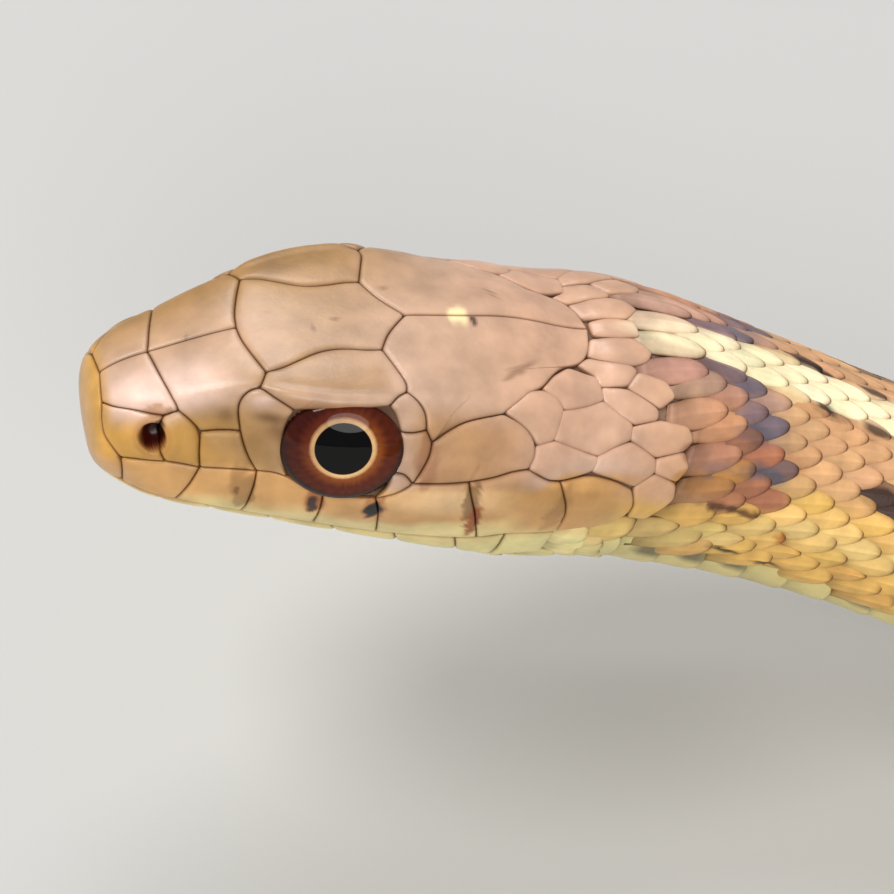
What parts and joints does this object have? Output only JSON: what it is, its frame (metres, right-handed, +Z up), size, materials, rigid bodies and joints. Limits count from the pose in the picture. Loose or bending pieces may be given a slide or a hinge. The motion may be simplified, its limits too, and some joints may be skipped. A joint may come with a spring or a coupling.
{
  "type": "garter snake",
  "caption": "Life-size still garter snake with a raised head, closed mouth and striped, spotted body laid in loose bends on the floor.",
  "frame": {"origin": "on the floor, under the middle of the whole animal's box", "axes": "snout points to -X, the body's bends spread along +X and Y, +Z up from the floor"},
  "size_m": [0.2582, 0.187, 0.0281],
  "materials": {
    "skin": "satin scales, brown above with pale stripes and dark spots, cream below",
    "eyes": "wet gloss, red-brown iris round a black pupil"
  },
  "bodies": {
    "root": {"head": "skin", "lower_jaw": "skin", "eye_left": "eyes", "eye_right": "eyes", "neck": "skin", "body_1": "skin", "body_2": "skin", "body_3": "skin", "body_4": "skin", "body_5": "skin", "body_6": "skin", "body_7": "skin", "body_8": "skin", "body_9": "skin", "body_10": "skin", "tail_base": "skin", "tail_middle": "skin", "tail_tip": "skin"}
  },
  "joints": []
}
